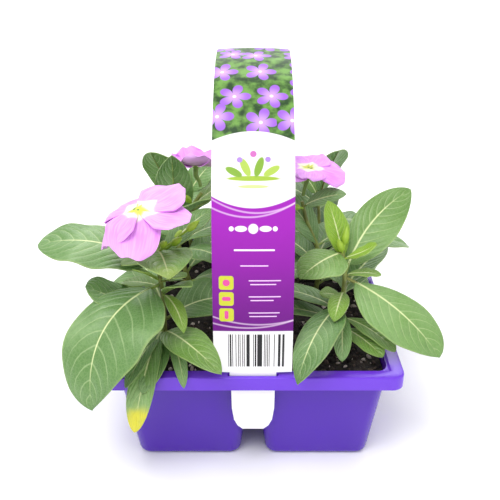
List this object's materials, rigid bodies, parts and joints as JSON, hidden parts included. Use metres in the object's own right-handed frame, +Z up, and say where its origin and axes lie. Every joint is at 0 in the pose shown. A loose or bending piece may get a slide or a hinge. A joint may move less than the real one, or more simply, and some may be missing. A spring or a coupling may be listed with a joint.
{
  "type": "potted madagascar periwinkle seedlings in a cell tray",
  "caption": "Multi-cell bedding-plant tray of Madagascar periwinkle seedlings with broad veined leaves, pink-lavender flowers and a plain strip label arched over as a carry handle.",
  "frame": {"origin": "centre of the object's bounding box on the surface that it stands on, which is also the middle of the tray's base", "axes": "+X to the right seen from the front, +Y from the front to the back along the strip label, +Z up"},
  "size_m": [0.2035, 0.2133, 0.1924],
  "materials": {
    "tray": "glossy purple moulded plastic",
    "label": "satin printed plastic strip",
    "soil": "moist near-black potting mix",
    "foliage": "satin green leaf with pale veins",
    "petals": "soft matt petal"
  },
  "bodies": {
    "root": {"tray": "tray", "handle_label": "label", "soil_front_left": "soil", "soil_front_right": "soil", "soil_middle_left": "soil", "soil_middle_right": "soil", "soil_back_left": "soil", "soil_back_right": "soil", "seedling_front_left": "foliage", "seedling_front_right": "foliage", "seedling_middle_left": "foliage", "seedling_middle_right": "foliage", "seedling_back_left": "foliage", "seedling_back_right": "foliage", "flower_front_left": "petals", "flower_middle_left": "petals", "flower_middle_right": "petals"}
  },
  "joints": []
}
